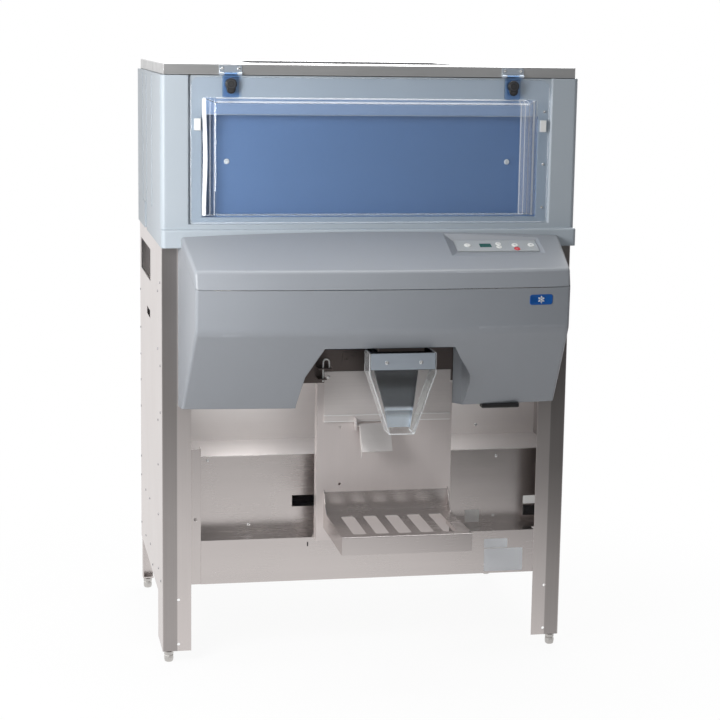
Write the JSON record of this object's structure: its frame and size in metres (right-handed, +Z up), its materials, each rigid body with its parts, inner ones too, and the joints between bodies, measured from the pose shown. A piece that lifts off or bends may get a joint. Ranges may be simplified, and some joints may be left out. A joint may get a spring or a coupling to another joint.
{
  "type": "ice storage bin",
  "caption": "Insulated ice storage and dispensing bin with a clear lift-up door, moulded hood, chute and container shelf on a stainless steel cabinet.",
  "frame": {"origin": "on the floor under the middle of the bounding box", "axes": "+X to the machine's right seen from the front, +Y to the back, +Z up"},
  "size_m": [1.24, 1.197, 1.785],
  "materials": {
    "shell_grey": "fine moulded texture, blue-grey",
    "liner_blue": "smooth moulded, blue",
    "foam": "closed-cell foam",
    "stainless": "brushed",
    "bright_steel": "bright, lightly brushed",
    "screw_steel": "bright",
    "clear": "clear polycarbonate",
    "tint_blue": "blue-tinted polycarbonate",
    "black_plastic": "satin black",
    "white_plastic": "white",
    "hood_grey": "fine moulded texture, grey",
    "keypad_grey": "satin",
    "display_green": "green display",
    "key_white": "white",
    "key_red": "red",
    "board": "circuit board",
    "motor": "dark paint",
    "foot_grey": "plain"
  },
  "bodies": {
    "cabinet": {"bin_shell": "shell_grey", "bin_liner": "liner_blue", "bin_insulation": "foam", "top_lid": "stainless", "hinge_bracket_left": "bright_steel", "hinge_bracket_right": "bright_steel", "bracket_screws": "screw_steel", "ice_shield": "tint_blue", "shield_rail": "stainless", "shield_screws": "white_plastic", "side_panel_left": "stainless", "side_panel_right": "stainless", "rear_leg_left": "stainless", "rear_leg_right": "stainless", "panel_rivets": "screw_steel", "post": "stainless", "apron": "stainless", "base_pan": "stainless", "lower_front_panel": "stainless", "deck": "stainless", "splash_panel": "stainless", "rear_panel": "stainless", "levelling_feet": "foot_grey", "top_cover": "hood_grey", "front_cover": "hood_grey", "cover_grip": "black_plastic", "keypad_plate": "keypad_grey", "display_window": "display_green", "control_board": "board", "hood_beam": "stainless", "upper_back_plate": "stainless", "lower_back_plate": "stainless", "shelf": "stainless", "chute": "bright_steel", "chute_clamp_plate": "bright_steel", "chute_shield": "clear", "chute_screws": "screw_steel", "hook_bracket": "stainless", "agitator_motor": "motor", "auger_motor": "motor", "switch_bezel": "black_plastic"},
    "door": {"door_panel": "clear", "door_strap_left": "tint_blue", "door_strap_right": "tint_blue", "door_studs": "screw_steel", "door_screws": "screw_steel", "door_bumpers": "white_plastic"},
    "left_knob": {"door_knob_left": "black_plastic"},
    "right_knob": {"door_knob_right": "black_plastic"},
    "paddle": {"container_paddle": "stainless"},
    "hook": {"hook_pin": "screw_steel"},
    "auger_rotor": {"auger": "bright_steel"},
    "agitator_rotor": {"agitator": "bright_steel"},
    "rocker": {"mains_rocker": "black_plastic"},
    "power_button": {"power_key": "key_white"},
    "up_button": {"up_key": "key_white"},
    "down_button": {"down_key": "key_white"},
    "start_button": {"start_key": "key_white"},
    "stop_button": {"stop_key": "key_red"},
    "light_button": {"light_key": "key_white"}
  },
  "joints": [
    {"name": "door_hinge", "type": "hinge", "parent": "cabinet", "child": "door", "pos_m": [0, -0.262, 1.7575], "axis": [-1, 0, 0], "range_deg": [0, 100]},
    {"name": "left_knob_turn", "type": "hinge", "parent": "door", "child": "left_knob", "pos_m": [-0.418, -0.2665, 1.729], "axis": [0, 1, 0], "continuous": true},
    {"name": "right_knob_turn", "type": "hinge", "parent": "door", "child": "right_knob", "pos_m": [0.418, -0.2665, 1.729], "axis": [0, 1, 0], "continuous": true},
    {"name": "paddle_swing", "type": "hinge", "parent": "cabinet", "child": "paddle", "pos_m": [0, -0.3055, 0.73], "axis": [1, 0, 0], "range_deg": [0, 12], "stiffness_Nm_per_rad": 0.5},
    {"name": "hook_lift", "type": "slide", "parent": "cabinet", "child": "hook", "axis": [0, 0, 1], "range_m": [0, 0.03]},
    {"name": "auger_spin", "type": "hinge", "parent": "cabinet", "child": "auger_rotor", "pos_m": [0.05, 0.1685, 1.05], "axis": [0, 1, 0], "continuous": true},
    {"name": "agitator_spin", "type": "hinge", "parent": "cabinet", "child": "agitator_rotor", "pos_m": [0.05, 0.1685, 1.222], "axis": [0, 1, 0], "continuous": true},
    {"name": "mains_switch", "type": "hinge", "parent": "cabinet", "child": "rocker", "pos_m": [0.543, -0.1375, 0.411], "axis": [0, 0, -1], "range_deg": [0, 16]},
    {"name": "power_press", "type": "slide", "parent": "cabinet", "child": "power_button", "axis": [0, 0.3714, -0.9285], "range_m": [0, 0.0008], "stiffness_N_per_m": 1500},
    {"name": "up_press", "type": "slide", "parent": "cabinet", "child": "up_button", "axis": [0, 0.3714, -0.9285], "range_m": [0, 0.0008], "stiffness_N_per_m": 1500},
    {"name": "down_press", "type": "slide", "parent": "cabinet", "child": "down_button", "axis": [0, 0.3714, -0.9285], "range_m": [0, 0.0008], "stiffness_N_per_m": 1500},
    {"name": "start_press", "type": "slide", "parent": "cabinet", "child": "start_button", "axis": [0, 0.3714, -0.9285], "range_m": [0, 0.0008], "stiffness_N_per_m": 1500},
    {"name": "stop_press", "type": "slide", "parent": "cabinet", "child": "stop_button", "axis": [0, 0.3714, -0.9285], "range_m": [0, 0.0008], "stiffness_N_per_m": 1500},
    {"name": "light_press", "type": "slide", "parent": "cabinet", "child": "light_button", "axis": [0, 0.3714, -0.9285], "range_m": [0, 0.0008], "stiffness_N_per_m": 1500}
  ]
}
